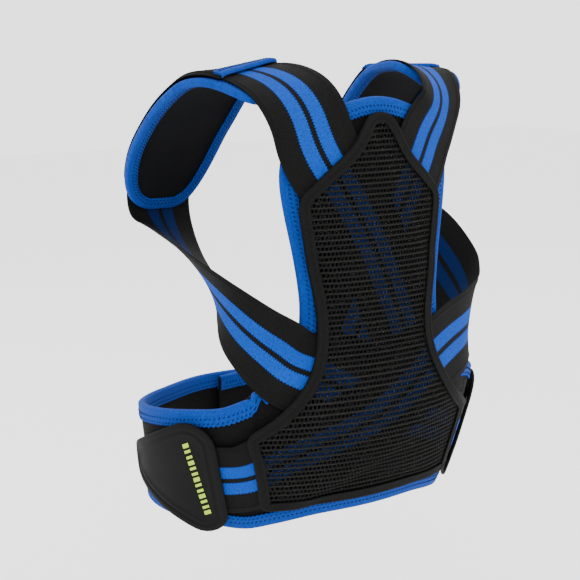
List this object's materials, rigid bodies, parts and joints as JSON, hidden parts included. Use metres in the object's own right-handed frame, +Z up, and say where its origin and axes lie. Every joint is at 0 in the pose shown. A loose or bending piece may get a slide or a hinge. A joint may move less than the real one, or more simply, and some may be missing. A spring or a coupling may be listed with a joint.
{
  "type": "posture corrector",
  "caption": "Posture corrector back brace: padded shoulder loops, crossed elastic straps under a mesh back cover, and a neoprene waist belt with strap-end tabs.",
  "frame": {"origin": "midway between the tops of the two shoulder straps, where the worn brace hangs from the shoulders", "axes": "+Z up, +Y the way the wearer faces, +X the wearer's right"},
  "size_m": [0.3856, 0.2895, 0.4438],
  "materials": {
    "neoprene": "matt black knit over foam",
    "black_elastic": "matt woven elastic with two blue stripes",
    "blue_tape": "bright blue knitted binding",
    "black_mesh": "matt black spacer mesh",
    "tab_rubber": "satin black moulded rubber"
  },
  "bodies": {
    "root": {"back_shell": "neoprene", "neck_tape": "blue_tape", "hem_tape": "blue_tape", "belt_left": "neoprene", "upper_tape_left": "blue_tape", "shoulder_strap_left": "black_elastic", "side_strap_left": "black_elastic", "shoulder_pad_left": "neoprene", "pad_tape_left": "blue_tape", "sleeve_left": "neoprene", "sleeve_tape_left": "blue_tape", "belt_right": "neoprene", "upper_tape_right": "blue_tape", "shoulder_strap_right": "black_elastic", "side_strap_right": "black_elastic", "shoulder_pad_right": "neoprene", "pad_tape_right": "blue_tape", "sleeve_right": "neoprene", "sleeve_tape_right": "blue_tape", "mesh_cover": "black_mesh", "cover_border": "black_elastic", "tab_left": "tab_rubber", "tab_right": "tab_rubber"}
  },
  "joints": []
}
